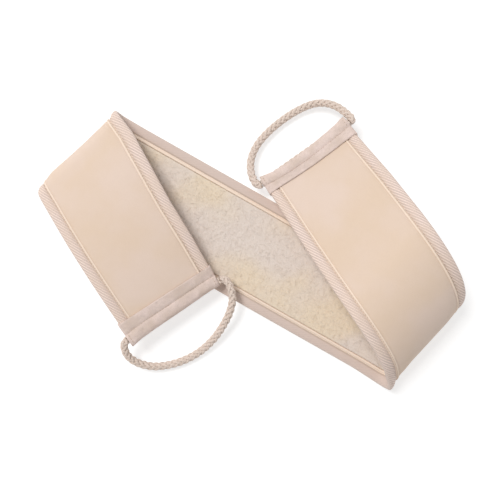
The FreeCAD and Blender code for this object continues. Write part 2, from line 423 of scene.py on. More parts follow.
def repeated(template, count):
    """Turns a small piece into that many copies in one mesh."""
    apply_modifier(template, "ARRAY", count=count, use_relative_offset=False)


def waves(x, t, size, seed):
    """Smooth uneven field between about -1 and 1, from waves of one size in many directions."""
    random = np.random.default_rng(seed)
    total = np.zeros(np.broadcast(x, t).shape)
    for _ in range(WAVE_COUNT):
        angle = random.uniform(0, math.pi)
        length = size * random.uniform(0.7, 1.5)
        phase = random.uniform(0, 2 * math.pi)
        total += np.sin(2 * math.pi * (x * math.cos(angle) + t * math.sin(angle)) / length + phase)
    return total / math.sqrt(WAVE_COUNT)


def ease(value, low, high):
    """0 below low, 1 above high and a smooth change between."""
    share = np.clip((value - low) / (high - low), 0.0, 1.0)
    return share * share * (3 - 2 * share)


# ---------------------------------------------------------------- the pad's swell

class Swell:
    """How far the stuffed pad bulges at each flat place, on its cloth side and its loofah side."""

    def __init__(self):
        self.low = -FOLDS["left"].strap_end + PAD_MARGIN
        self.high = FOLDS["right"].strap_end - PAD_MARGIN
        self.columns = 256
        self.rows = 26
        self.cloth = None
        self.loofah = None

    def grid(self):
        x = np.linspace(self.low, self.high, self.columns + 1)
        t = np.linspace(-SEAM, SEAM, self.rows + 1)
        return x, t

    def settle(self, rise, pressure):
        """Blows up a flat sewn pad by cloth simulation and keeps the heights of both faces."""
        x, t = self.grid()
        across = np.concatenate([t, t[::-1]])
        height = np.concatenate([np.zeros(len(t)), np.full(len(t), PAD_THICKNESS)])
        pad = new_grid("pad_form", self.columns, len(across))
        column, row = grid_places(pad, self.columns, len(across))
        row = row % len(across)
        flat = np.stack([x[column], across[row], height[row]], -1)
        set_places(pad, flat)
        edit(pad, close_seam, close_ends)
        face_outwards(pad)
        before = get_places(pad)
        held = np.abs(before[:, 1]) > SEAM - 1 * MM
        held |= (before[:, 0] < self.low + 1 * MM) | (before[:, 0] > self.high - 1 * MM)
        group = pad.vertex_groups.new(name="sewn")
        group.add(np.nonzero(held)[0].tolist(), 1.0, "REPLACE")
        modifier = pad.modifiers.new("Swell", "CLOTH")
        modifier.settings.quality = 5
        modifier.settings.mass = 0.15
        modifier.settings.tension_stiffness = 12
        modifier.settings.compression_stiffness = 12
        modifier.settings.bending_stiffness = 0.4
        modifier.settings.vertex_group_mass = "sewn"
        modifier.settings.shrink_min = -0.006
        modifier.settings.use_pressure = True
        modifier.settings.uniform_pressure_force = pressure
        modifier.settings.effector_weights.gravity = 0
        modifier.point_cache.frame_end = 20
        for step in range(1, 21):
            bpy.context.scene.frame_set(step)
        pick(pad)
        bpy.ops.object.modifier_apply(modifier="Swell")
        bpy.context.scene.frame_set(1)
        after = get_places(pad)
        self.cloth = self.kept(before, before[:, 2] - after[:, 2], before[:, 2] < MID_LAYER, rise)
        self.loofah = self.kept(before, after[:, 2] - before[:, 2], before[:, 2] > MID_LAYER, rise)
        bpy.data.objects.remove(pad, do_unlink=True)

    def kept(self, before, bulge, chosen, rise):
        """Heights on the flat grid, held under the given rise."""
        x, t = self.grid()
        heights = np.zeros((len(x), len(t)))
        column = np.rint((before[chosen, 0] - x[0]) / (x[1] - x[0])).astype(int)
        row = np.rint((before[chosen, 1] - t[0]) / (t[1] - t[0])).astype(int)
        heights[column, row] = rise * np.tanh(bulge[chosen] / rise)
        return heights

    def at(self, heights, x, t):
        """Heights at any flat place, from the grid's four corners round it."""
        column = np.clip((x - self.low) / (self.high - self.low) * self.columns, 0,
                         self.columns - 1e-6)
        row = np.clip((t + SEAM) / (2 * SEAM) * self.rows, 0, self.rows - 1e-6)
        i = column.astype(int)
        j = row.astype(int)
        a = column - i
        b = row - j
        near = heights[i, j] * (1 - b) + heights[i, j + 1] * b
        far = heights[i + 1, j] * (1 - b) + heights[i + 1, j + 1] * b
        return near * (1 - a) + far * a


SWELL = Swell()


def off_the_floor(x, t):
    """0 where the strap's middle lies on its back, 1 past the start of each bend."""
    total = 0.0
    for fold in FOLDS.values():
        w = fold.sign * (x * math.cos(fold.slant) + t * math.sin(fold.slant)) - fold.start
        total = total + ease(w, 0.0, 16 * MM)
    return total


def cloth_shift(x, t, kind):
    """Bulge of the back cloth, outwards, so down from the strap's outer face."""
    return -SWELL.at(SWELL.cloth, x, t) * off_the_floor(x, t) * (kind > 0.5)


def loofah_shift(x, t, kind):
    """Bulge and unevenness of the loofah's rough face."""
    inside = 1 - ease(np.abs(t), 33 * MM, 36.5 * MM)
    lumps = 0.2 * MM * waves(x, t, 13 * MM, 3) + 0.13 * MM * waves(x, t, 5.5 * MM, 4)
    return (0.6 * SWELL.at(SWELL.loofah, x, t) + lumps * inside - 0.1 * MM) * (kind > 0.5)


# ---------------------------------------------------------------- layers of the strap

def layer_outline(face, edge, opposite, rows):
    """Closed outline of (t, n, kind): the face, one edge, the other face, the other edge."""
    points = [(t, face[1], 1) for t in np.linspace(-face[0], face[0], rows)]
    points += [(t, n, 0) for t, n in edge]
    points += [(t, opposite[1], -1) for t in np.linspace(opposite[0], -opposite[0], rows // 3)]
    points += [(-t, n, 0) for t, n in reversed(edge)]
    return points


def outline_lengths(points):
    """Distance round a closed outline to each of its points, in metres."""
    t, n = np.array([point[:2] for point in points + points[:1]]).T * MM
    return np.concatenate([[0], np.cumsum(np.hypot(np.diff(t), np.diff(n)))])


def edge_outline(side):
    return [(side * t, n, 0) for t, n in TAPE]


def build_run(name, run, points, shift=None):
    """Closed piece of one run with that outline, whose shift gives extra height by flat place."""
    t = np.array([p[0] for p in points]) * MM
    n = np.array([p[1] for p in points]) * MM
    kind = np.array([p[2] for p in points])
    around = len(points)
    lines = run.lines()
    columns = len(lines) - 1
    x = lines[:, :1] + lines[:, 1:] * t
    wide = np.broadcast_to(t, x.shape)
    height = np.broadcast_to(n, x.shape).copy()
    if shift:
        height += shift(x, wide, kind[None, :])
    places = run.place(x, wide, height)
    step = 0.4 * MM
    ahead = run.place(x + step, wide, height) - run.place(x - step, wide, height)
    round_it = np.roll(places, -1, axis=1) - np.roll(places, 1, axis=1)
    turning = np.sum(t * np.roll(n, -1) - n * np.roll(t, -1))
    outward = np.cross(ahead, round_it) * -np.sign(turning)
    outward /= np.maximum(np.linalg.norm(outward, axis=-1, keepdims=True), 1e-12)
    piece = new_grid(name, columns, around)
    column, row = grid_places(piece, columns, around)
    loop = row % around
    set_places(piece, places[column, loop])
    store_vectors(piece, "outward", outward[column, loop])
    along = np.concatenate([[0], np.cumsum(np.hypot(t - np.roll(t, -1), n - np.roll(n, -1)))])
    store_flat_map(piece, np.stack([x[column, loop] * np.sign(t.sum() + MM), along[row]], -1))
    edit(piece, close_seam, close_ends)
    face_outwards(piece)
    shade_by_vectors(piece)
    return piece


def build_tubes(name, centres, outs, sideways, half_width, half_height, sides):
    """Many small tubes in one mesh.  All arrays are (tubes, points, 3) or (tubes, points)."""
    tubes, points, _ = centres.shape
    piece = new_grid(name, points - 1, sides)
    column, row = grid_places(piece, points - 1, sides)
    repeated(piece, tubes)
    angle = 2 * math.pi * row / sides
    wide = (np.cos(angle) * half_width[:, column])[..., None] * sideways[:, column]
    high = (np.sin(angle) * half_height[:, column])[..., None] * outs[:, column]
    set_places(piece, (centres[:, column] + wide + high).reshape(-1, 3))
    steps = np.linalg.norm(np.diff(centres, axis=1), axis=-1)
    along = np.concatenate([np.zeros((tubes, 1)), np.cumsum(steps, axis=1)], axis=1)
    flat = np.stack([along[:, column], np.broadcast_to(angle / (2 * math.pi), (tubes, len(angle)))], -1)
    store_flat_map(piece, flat.reshape(-1, 2))
    edit(piece, close_seam)
    face_outwards(piece)
    shade_smooth(piece)
    return piece


def shade_smooth(piece):
    piece.data.polygons.foreach_set("use_smooth", np.ones(len(piece.data.polygons), bool))
    piece.data.update()


def travelled(places):
    """Distance along a line to each of its points."""
    return np.concatenate([[0], np.cumsum(np.linalg.norm(np.diff(places, axis=0), axis=1))])


def unit(vectors):
    return vectors / np.maximum(np.linalg.norm(vectors, axis=-1, keepdims=True), 1e-12)


def strap_tubes(name, run, x, t, n, half_width, half_height):
    """Small tubes lying on the strap, along flat lines given as (tubes, points) arrays."""
    centres = run.place(x, t, n)
    outs = unit(run.place(x, t, n + 0.3 * MM) - centres)
    sideways = unit(np.cross(outs, np.gradient(centres, axis=1)))
    return build_tubes(name, centres, outs, sideways, half_width, half_height, 4)


def stitch_sizes(size):
    """Half sizes along a stitch, which closes to a point at both ends."""
    share = np.linspace(0.0, 1.0, STITCH_POINTS)
    return size * np.clip(4 * share * (1 - share), 0.0, 1.0) ** 0.5


def fibre_tangle(name, run, spread, seed):
    """Short bent loofah fibres lying over and under each other on the rough face."""
    random = np.random.default_rng(seed)
    count = int(run.length() * 2 * 36 * MM / spread)
    points = 6
    t0 = random.uniform(-35.8, 35.8, count) * MM
    x0 = run.between(random.uniform(0.0, 1.0, count), t0)
    angle = random.uniform(0, math.pi, count)
    half = random.uniform(1.2, 3.6, count) * MM
    bow = random.uniform(-1.1, 1.1, count) * MM
    size = random.uniform(0.08, 0.17, count) * MM
    share = np.linspace(-1.0, 1.0, points)[None, :]
    ahead = half[:, None] * share
    aside = bow[:, None] * (share ** 2 - 0.4)
    x = x0[:, None] + ahead * np.cos(angle)[:, None] - aside * np.sin(angle)[:, None]
    t = t0[:, None] + ahead * np.sin(angle)[:, None] + aside * np.cos(angle)[:, None]
    t = np.clip(t, -FACE_HALF * MM, FACE_HALF * MM)
    face = PAD_THICKNESS + loofah_shift(x, t, np.array(1.0))
    lift = random.uniform(0.0, 0.2, count)[:, None] * MM * (1 - share ** 2) - 0.06 * MM
    width = size[:, None] * (1 - share ** 4)
    return strap_tubes(name, run, x, t, face + lift, width, width)


def stitch_row(run, t, n, pitch):
    """Flat lines of one row of stitches along the run."""
    count = max(2, int(run.length() / pitch))
    share = (np.arange(count) + 0.5) / count
    x0 = run.between(share, t)
    x = x0[:, None] + np.linspace(-0.42, 0.42, STITCH_POINTS)[None, :] * pitch
    sink = np.array([-0.22, 0.0, 0.0, -0.22]) * MM
    return x, np.full(x.shape, t), n + np.broadcast_to(sink, x.shape)


def seam_stitches(name, run):
    """Stitches along both edges: in the groove beside the loofah and beside the back cloth."""
    rows = [stitch_row(run, side * t * MM, n * MM, pitch * MM)
            for t, n, pitch in SEAM_ROWS for side in (-1, 1)]
    x, t, n = (np.concatenate([row[k] for row in rows]) for k in range(3))
    size = np.broadcast_to(stitch_sizes(0.26 * MM), x.shape)
    return strap_tubes(name, run, x, t, n, size, size)


# ---------------------------------------------------------------- end bands

# Half section of the band: (beyond the strap's end, distance from the mid layer) in mm
BAND_SECTION = [(-24.0, 4.62), (-22.6, 4.66), (-20.0, 4.6), (-17.0, 4.58), (-14.9, 4.5),
                (-13.9, 4.2), (-13.3, 3.85), (-12.8, 3.8), (-12.2, 4.1), (-11.2, 4.45),
                (-9.8, 4.8), (-8.0, 5.05), (-6.3, 5.12), (-4.6, 4.98), (-3.1, 4.4),
                (-1.9, 3.4), (-1.05, 2.1), (-0.65, 0.75)]
BAND_ROW = -13.05         # topstitched row, beyond the strap's end in mm
BAND_TURN = (-12.2, 48.0)  # start of the turned ends of the row, (beyond, across) in mm
BAND_SIDES = [45.2, 46.6, 47.9, 49.0, 49.9, 50.6, 51.0]

# Shifts of the band's outer and inner edge by place across the strap, in mm
BAND_BOW = {"left": (((-51, -40, -25, 0, 25, 40, 51), (2.4, 0.6, -0.2, -0.7, -1.5, -2.0, -1.2)),
                     ((-51, 0, 51), (0.6, 0.2, 0.4))),
            "right": (((-51, -44, -34, -20, -5, 12, 28, 41, 51),
                       (1.2, -0.6, -2.8, -3.6, -3.5, -2.3, -1.0, 0.6, 2.8)),
                      ((-51, -25, 0, 25, 51), (3.6, 2.2, 1.6, 2.4, 3.6)))}


def band_height(beyond, t, height):
    """Distance from the mid layer, pinched where the flaps close round the strap's edges."""
    side = np.abs(t)
    flap = 1 - 0.1 * ease(side, 38.0, 43.0) - 0.15 * ease(side, 46.5, 49.0)
    flap = flap - 0.42 * ease(side, 49.0, 51.0)
    channel = 1 - 0.07 * ease(side, 47.0, 51.0)
    share = ease(beyond, -14.0, -9.0)
    return height * (flap * (1 - share) + channel * share)


def band_bow(side, beyond, t):
    """Shift of the band's edges along the strap: both bow, and the outer corners stick out."""
    outer, inner = BAND_BOW[side]
    outer_shift = np.interp(t, outer[0], outer[1])
    inner_shift = np.interp(t, inner[0], inner[1])
    share = ease(beyond, -24.0, -4.0)
    return outer_shift * share + inner_shift * (1 - share)


def build_band(name, side):
    """The doubled end band: one sheet of cloth folded round the rope and over the pad's end."""
    fold = FOLDS[side]
    section = np.array(BAND_SECTION + [(s, -h) for s, h in reversed(BAND_SECTION)])
    middle = np.linspace(-44.0, 44.0, 45)
    sides = np.array(BAND_SIDES)
    t = np.concatenate([-sides[::-1], middle, sides])[:, None]
    beyond, height = section.T[:, None, :]
    pucker = 0.2 * waves(beyond * 0.3, t, 5.0, 11) * ease(beyond, -24.0, -19.0)
    high = band_height(beyond, t, height + np.sign(height) * pucker)
    out = beyond + band_bow(side, beyond, t)
    wide = np.broadcast_to(t, out.shape)
    places = fold.place(fold.strap_end + out * MM, wide * MM, MID_LAYER + high * MM)
    columns = len(t) - 1
    rows = len(section) - 1
    band = new_grid(name, columns, rows)
    column, row = grid_places(band, columns, rows)
    set_places(band, places[column, row])
    along = travelled(section)
    store_flat_map(band, np.stack([wide[column, row] * MM, along[row] * MM], -1))
    apply_modifier(band, "SOLIDIFY", thickness=0.9 * MM, offset=0.0)
    face_outwards(band)
    shade_smooth(band)
    side + "_panel_back_cloth"
    return band


def band_stitches(name, side):
    """The topstitched row along the band on both faces, turned towards the rope at its ends."""
    fold = FOLDS[side]
    pitch = 2.9
    lines = []
    for face in (-1, 1):
        for k in range(-16, 17):
            lines.append([(BAND_ROW, (k + q) * pitch) for q in (-0.4, -0.15, 0.15, 0.4)]
                         + [face])
        for end in (-1, 1):
            for k in range(3):
                lines.append([(BAND_TURN[0] + (k + q) * pitch, end * BAND_TURN[1])
                              for q in (0.1, 0.35, 0.65, 0.9)] + [face])
    flat = np.array([line[:4] for line in lines])
    face = np.array([line[4] for line in lines])[:, None]
    section = np.array(BAND_SECTION)
    beyond, t = flat[..., 0], flat[..., 1]
    height = np.interp(beyond, section[:, 0], section[:, 1])
    sink = np.array([-0.2, 0.0, 0.0, -0.2])
    high = face * (band_height(beyond, t, height) + 0.5 + sink)
    s = fold.strap_end + (beyond + band_bow(side, beyond, t)) * MM
    centres = fold.place(s, t * MM, MID_LAYER + high * MM)
    raised = fold.place(s, t * MM, MID_LAYER + (high + face * 0.3) * MM)
    outs = unit(raised - centres)
    sideways = unit(np.cross(outs, np.gradient(centres, axis=1)))
    size = np.broadcast_to(stitch_sizes(0.3 * MM), beyond.shape)
    return build_tubes(name, centres, outs, sideways, size, size, 4)


# ---------------------------------------------------------------- ropes

def smooth_line(points):
    """Points along a NURBS line that has these control points."""
    curve = bpy.data.curves.new("rope_line", "CURVE")
    curve.dimensions = "3D"
    spline = curve.splines.new("NURBS")
    spline.points.add(len(points) - 1)
    for point, place in zip(spline.points, points):
        point.co = (*place, 1.0)
    spline.order_u = 3
    spline.use_endpoint_u = True
    curve.resolution_u = 24
    line = bpy.data.objects.new("rope_line", curve)
    bpy.context.collection.objects.link(line)
    mesh = bpy.data.meshes.new_from_object(line)
    places = np.zeros(len(mesh.vertices) * 3)
    mesh.vertices.foreach_get("co", places)
    bpy.data.objects.remove(line, do_unlink=True)
    bpy.data.meshes.remove(mesh)
    return places.reshape(-1, 3)


def evenly(places, step):
    """The same line with points a step apart, and its length."""
    along = travelled(places)
    count = max(4, int(along[-1] / step))
    wanted = np.linspace(0, along[-1], count + 1)
    even = np.stack([np.interp(wanted, along, places[:, k]) for k in range(3)], -1)
    return even, float(along[-1])


def carried_frame(line):
    """Two directions across the line at every point, carried along it without twisting."""
    tangent = unit(np.gradient(line, axis=0))
    first = np.cross(tangent[0], (0.0, 0.0, 1.0))
    across = [first / np.linalg.norm(first)]
    for ahead in tangent[1:]:
        turned = across[-1] - ahead * np.dot(across[-1], ahead)
        across.append(turned / np.linalg.norm(turned))
    across = np.array(across)
    return across, np.cross(tangent, across)


def braid(name, line, pitch=23.0 * MM):
    """Round braid of eight strands on a core, each over two and under two of the others."""
    line, length = evenly(line, 0.9 * MM)
    first, second = carried_frame(line)
    along = np.linspace(0, length, len(line))
    centres = []
    outs = []
    for hand in (-1, 1):
        for k in range(4):
            angle = hand * 2 * math.pi * along / pitch + k * math.pi / 2
            phase = 4 * math.pi * along / pitch + k * math.pi - hand * math.pi / 4
            out = np.cos(angle)[:, None] * first + np.sin(angle)[:, None] * second
            centres.append(line + out * (2.45 + hand * 0.48 * np.cos(phase))[:, None] * MM)
            outs.append(out)
    centres = np.array(centres)
    outs = np.array(outs)
    sideways = unit(np.cross(outs, np.gradient(centres, axis=1)))
    closing = np.ones(len(line))
    closing[[0, -1]] = 0.0
    closing = np.broadcast_to(closing, centres.shape[:2])
    rope = build_tubes(name, centres, outs, sideways, 1.4 * MM * closing, 0.95 * MM * closing, 8)
    core = build_tubes(name + "_core", line[None], first[None], second[None],
                       2.4 * MM * closing[:1], 2.4 * MM * closing[:1], 8)
    join(rope, core)
    return rope, length


def join(piece, other):
    pick(piece)
    other.select_set(True)
    bpy.ops.object.join()


def build_rope(side, route):
    """The loop of rope outside the band, and the length of it hidden inside."""
    fold = FOLDS[side]
    origin, out, across, up = fold.panel_frame()
    points = [origin + out * a * MM + across * b * MM + up * c * MM for a, b, c in route]
    line = smooth_line(points)
    loop, length = braid(side + "_rope_loop_braid", line)
    dress(loop, "spun_cotton", "cotton_rope")
    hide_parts(side + "_rope_loop")
    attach(loop, side + "_rope")
    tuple(points[0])
    ends = (route[0][1], route[-1][1])
    inside = [origin + out * CHANNEL * MM + across * b * MM + up * MID_LAYER for b in ends]
    hidden, _ = braid(side + "_rope_in_band_braid", np.array([list(p) for p in inside]))
    dress(hidden, "spun_cotton", "cotton_rope")
    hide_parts(side + "_rope_in_band")
    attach(hidden, side + "_rope")


# ---------------------------------------------------------------- finishes

class Value:
    """A shader socket that takes part in Python sums; each sum adds a Math node."""

    def __init__(self, finish, socket):
        self.finish = finish
        self.socket = socket

    def maths(self, operation, *inputs):
        sockets = dict(enumerate(inputs))
        return self.finish.node("ShaderNodeMath", {"operation": operation}, sockets).out(0)

    def __add__(self, other):
        return self.maths("ADD", self, other)

    def __sub__(self, other):
        return self.maths("SUBTRACT", self, other)

    def __rsub__(self, other):
        return self.maths("SUBTRACT", other, self)

    def __mul__(self, other):
        return self.maths("MULTIPLY", self, other)

    __radd__ = __add__
    __rmul__ = __mul__

    def sine(self):
        return self.maths("SINE", self)

    def step(self, low, high):
        """0 below low and 1 above high, with an even change between."""
        settings = {"interpolation_type": "SMOOTHSTEP"}
        sockets = {"Value": self, "From Min": low, "From Max": high}
        return self.finish.node("ShaderNodeMapRange", settings, sockets).out("Result")

    def band(self, low, high, soft):
        """1 between low and high and 0 outside."""
        return self.step(low - soft, low) * (1 - self.step(high, high + soft))


class Node:
    """One shader node with easy access to its outputs."""

    def __init__(self, finish, node):
        self.finish = finish
        self.node = node

    def out(self, key):
        return Value(self.finish, self.node.outputs[key])


class Finish:
    """A procedural material under construction."""

    def __init__(self, name, roughness, sheen=0.0):
        self.material = bpy.data.materials.new(name)
        self.material.use_nodes = True
        self.tree = self.material.node_tree
        self.shader = self.tree.nodes["Principled BSDF"]
        self.shader.inputs["Roughness"].default_value = roughness
        self.shader.inputs["Sheen Weight"].default_value = sheen
        self.shader.inputs["Sheen Roughness"].default_value = 0.5
        self.shader.inputs["Specular IOR Level"].default_value = 0.2

    def feed(self, socket, value):
        if isinstance(value, Value):
            self.tree.links.new(value.socket, socket)
        else:
            socket.default_value = value

    def node(self, kind, settings=None, sockets=None):
        made = self.tree.nodes.new(kind)
        for key, value in (settings or {}).items():
            setattr(made, key, value)
        for key, value in (sockets or {}).items():
            self.feed(made.inputs[key], value)
        return Node(self, made)

    def mix(self, share, first, second):
        """Colour between two colours."""
        made = self.node("ShaderNodeMix", {"data_type": "RGBA"}, {0: share, 6: first, 7: second})
        return made.out(2)

    def place(self):
        return self.node("ShaderNodeTexCoord").out("Object")

    def flat(self):
        """Distances along and across the cloth, in metres."""
        flat = self.node("ShaderNodeUVMap", {"uv_map": "flat"}).out("UV")
        split = self.node("ShaderNodeSeparateXYZ", sockets={0: flat})
        return split.out("X"), split.out("Y")

    def noise(self, size, detail=2.0, rough=0.5):
        """Uneven field from 0 to 1 whose patches are about that many metres wide."""
        sockets = {"Vector": self.place(), "Scale": 1.0 / size, "Detail": detail,
                   "Roughness": rough}
        return self.node("ShaderNodeTexNoise", sockets=sockets).out(0)

    def bump(self, height, depth):
        sockets = {"Height": height, "Distance": depth, "Strength": 1.0}
        normal = self.node("ShaderNodeBump", sockets=sockets).out("Normal")
        self.feed(self.shader.inputs["Normal"], normal)

    def colour(self, value):
        self.feed(self.shader.inputs["Base Color"], value)


def tinted(colour, scale, warm=0.0):
    """A colour made lighter or darker, and warmer."""
    red, green, blue = colour[:3]
    return (red * scale * (1 + 0.3 * warm), green * scale, blue * scale * (1 - warm), 1.0)


def jersey_finish(colours):
    """Smooth knitted back cloth with a faint rib and soft cloudy colour."""
    finish = Finish("smooth_jersey", 0.88, 0.12)
    u, v = finish.flat()
    along = outline_lengths(layer_outline(*CLOTH_LAYER))
    first = CLOTH_LAYER[3] + RIDGE[0]
    last = CLOTH_LAYER[3] + RIDGE[1]
    # The fine ridge beside the tape gets the lip's paler cream and is 5% lighter again: partly the
    # bead's own colour, partly a painted highlight on the raised bead.
    ridge_cream_and_highlight = v.band(along[first], along[last], 0.3 * MM)
    ridge_cream_and_highlight = ridge_cream_and_highlight + v.band(along[-2 - RIDGE[1]], along[-2 - RIDGE[0]], 0.3 * MM)
    cloud = finish.noise(0.05, 3.0)
    fine = finish.noise(0.0012, 2.0)
    rib = (v * (2 * math.pi / 0.0009)).sine() * (u * (2 * math.pi / 0.0012)).sine()
    base = colours.cloth
    shade = finish.mix(cloud.step(0.3, 0.7), tinted(base, 0.97, 0.06), tinted(base, 1.03, -0.03))
    shade = finish.mix((fine - 0.5) * 0.25 + 0.12, shade, tinted(base, 0.86, 0.05))
    finish.colour(finish.mix(ridge_cream_and_highlight * 0.7, shade, tinted(colours.lip, 1.05)))
    finish.bump(rib * 0.4 + fine, 0.00018)
    return finish.material


def loofah_finish(colours, name, lighter):
    """Rough natural fibre: pale, with yellow patches of painted warm light bounced from the cloth, laid
    at random, and small dark pits.
    """
    finish = Finish(name, 0.95)
    base = colours.loofah
    warm_bounce_patch = finish.noise(0.07, 2.0)
    grain = finish.noise(0.0013, 3.0, 0.7)
    pits = finish.noise(0.0022, 2.0, 0.6)
    # Painted reflected light: the yellow patches stand for warm light bounced from the cream cloth,
    # laid out as random patches.
    shade = finish.mix(warm_bounce_patch.step(0.42, 0.68), tinted(base, lighter), tinted(base, lighter, 0.15))
    shade = finish.mix(grain.step(0.35, 0.7) * 0.4, shade, tinted(base, lighter * 0.84, 0.08))
    shade = finish.mix(pits.step(0.56, 0.72) * 0.3, shade, tinted(base, lighter * 0.7, 0.12))
    finish.colour(shade)
    finish.bump(grain + pits * 0.6, 0.0006)
    return finish.material


def tape_finish(colours):
    """Bias tape with slanting twill ribs; the piped lip beside the loofah is smooth and paler, and the
    grooves beside the lip and beside the cloth's ridge are darkened as painted shade.
    """
    finish = Finish("twill_tape", 0.85, 0.1)
    u, v = finish.flat()
    along = outline_lengths(TAPE)
    lip = v.band(along[LIP[0]], along[LIP[1]], 0.4 * MM)
    inner = v.step(9 * MM, 12 * MM)
    ribs = ((u * 0.5 + v * 0.866) * (2 * math.pi / 0.0022)).sine() * (1 - inner * 0.8)
    fine = finish.noise(0.0008, 2.0)
    cloud = finish.noise(0.02, 2.0)
    base = colours.tape
    tape = finish.mix(ribs.step(0.6, -0.8), tinted(base, 1.12), tinted(base, 0.8))
    tape = finish.mix(cloud.step(0.35, 0.7) * 0.5, tape, tinted(base, 0.96, 0.08))
    tape = finish.mix(inner * 0.85, tape, tinted(base, 0.74))
    # Painted shade: the dip just before the piped lip is darkened as the shade in that groove.
    groove_shade = v.band(along[LIP[0]] - 1.4 * MM, along[LIP[0]] - 0.5 * MM, 0.7 * MM)
    tape = finish.mix(groove_shade * 0.6, tape, tinted(base, 0.5, 0.12))
    # Painted shade: the tape's inner strip beside the cloth's ridge is darkened as the shade in the
    # groove there.
    valley_shade = 1 - v.step(0.8 * MM, 3.6 * MM)
    tape = finish.mix(valley_shade * 0.45, tape, tinted(base, 0.76, 0.08))
    shade = finish.mix(lip, tape, tinted(colours.lip, 1.0))
    finish.colour(finish.mix(fine.step(0.4, 0.75) * 0.25, shade, tinted(base, 0.85, 0.05)))
    finish.bump(ribs * (1 - lip) * 0.6 + fine * 0.7, 0.0004)
    return finish.material


def band_finish(colours):
    """Plain cotton tape of the end bands, with fine ribs across."""
    finish = Finish("band_cotton", 0.88, 0.1)
    u, v = finish.flat()
    ribs = (u * (2 * math.pi / 0.0011)).sine()
    weave = (v * (2 * math.pi / 0.0013)).sine()
    cloud = finish.noise(0.012, 3.0)
    fine = finish.noise(0.0009, 2.0)
    rumple = finish.noise(0.0045, 3.0)
    base = colours.band
    shade = finish.mix(cloud.step(0.3, 0.75), tinted(base, 1.04), tinted(base, 0.88, 0.06))
    shade = finish.mix(rumple.step(0.45, 0.7) * 0.45, shade, tinted(base, 0.84, 0.02))
    shade = finish.mix(fine.step(0.4, 0.8) * 0.5, shade, tinted(base, 0.74, 0.05))
    finish.colour(shade)
    finish.bump(ribs * weave * 0.3 + fine * 0.7 + rumple * 1.6, 0.0006)
    return finish.material


def rope_finish(colours):
    """Soft spun cotton strands."""
    finish = Finish("spun_cotton", 0.9, 0.1)
    u, v = finish.flat()
    spun = (u * (2 * math.pi / 0.0016) + v * 9.0).sine()
    fine = finish.noise(0.0007, 2.0)
    cloud = finish.noise(0.012, 2.0)
    base = colours.rope
    shade = finish.mix(cloud, tinted(base, 1.05), tinted(base, 0.9, 0.05))
    shade = finish.mix(fine.step(0.35, 0.8) * 0.5, shade, tinted(base, 0.72, 0.08))
    shade = finish.mix(spun.step(0.2, 1.0) * 0.3, shade, tinted(base, 0.7, 0.06))
    finish.colour(shade)
    finish.bump(spun * 0.4 + fine, 0.0003)
    return finish.material


def thread_finish(colours):
    finish = Finish("sewing_thread", 0.8)
    fine = finish.noise(0.0005, 1.0)
    finish.colour(finish.mix(fine, tinted(colours.thread, 0.9), tinted(colours.thread, 1.1)))
    finish.bump(fine, 0.0001)
    return finish.material


def foam_finish(colours):
    finish = Finish("pad_foam", 0.95)
    cells = finish.noise(0.0014, 2.0)
    finish.colour(finish.mix(cells.step(0.4, 0.6), tinted(colours.foam, 0.8),
                             tinted(colours.foam, 1.05)))
    finish.bump(cells, 0.0006)
    return finish.material


def floor_finish():
    finish = Finish("pale_floor", 0.95)
    grain = finish.noise(0.3, 2.0)
    finish.colour(finish.mix(grain, (0.54, 0.54, 0.54, 1.0), (0.56, 0.56, 0.56, 1.0)))
    finish.shader.inputs["Emission Color"].default_value = (1.0, 1.0, 1.0, 1.0)
    finish.shader.inputs["Emission Strength"].default_value = 0.55
    return finish.material


# ---------------------------------------------------------------- settings

def linear(*levels):
    """Screen colour from 0 to 255 as the linear colour that shaders use."""
    scaled = [level / 255 for level in levels]
    return [c / 12.92 if c <= 0.04045 else ((c + 0.055) / 1.055) ** 2.4 for c in scaled]


def colour_setting(name, description, *levels):
    return FloatVectorProperty(name=name, description=description, subtype="COLOR", size=3,
                               min=0.0, max=1.0, default=linear(*levels))


class ScrubberColours(bpy.types.PropertyGroup):
    """Colours of the scrubber's materials."""

    cloth: colour_setting("Back cloth", "Smooth jersey on the back", 227, 205, 188)
    loofah: colour_setting("Loofah", "Rough natural fibre face", 230, 217, 208)
    tape: colour_setting("Edge tape", "Twill tape round the long edges", 235, 214, 203)
    lip: colour_setting("Lip", "Piped lip between tape and loofah", 244, 224, 206)
    band: colour_setting("End band", "Cotton tape across both ends", 240, 219, 210)
    rope: colour_setting("Rope", "Braided cotton rope", 231, 214, 204)
    thread: colour_setting("Thread", "Sewing thread", 206, 184, 164)
    foam: colour_setting("Foam", "Foam inside the pad", 232, 222, 190)


class ScrubberSizes(bpy.types.PropertyGroup):
    """Sizes that can be changed without touching the CAD."""

    swell: FloatProperty(name="Swell", description="Most that the stuffed pad bulges",
                         default=1.1 * MM, min=0.0, max=3.0 * MM, unit="LENGTH")
    pressure: FloatProperty(name="Pressure", description="Air pressure of the pad's simulation",
                            default=4.0, min=0.0, max=20.0)
    fibre_area: FloatProperty(name="Fibre spacing",
                              description="Loofah face per fibre, in square metres",
                              default=3.2e-6, min=1e-6, max=1e-4)
    seed: IntProperty(name="Seed", description="Picks another tangle of fibres", default=7)


# ---------------------------------------------------------------- stage

FLOOR_SIZE = 8.0
FLOOR_HEIGHT = -0.6 * MM
SKY_STRENGTH = 0.5
KEY_LAMP = ((-2.04, 0.57, 3.6), 1.4, 112.0)     # place, size and watts
CAMERA_PLACE = (0.7 * MM, -1.0 * MM, 686.6 * MM)
CAMERA_TURN = 29.55       # degrees about the vertical
CAMERA_LENS = 51.54       # mm on a 36 mm sensor


# ---------------------------------------------------------------- operators

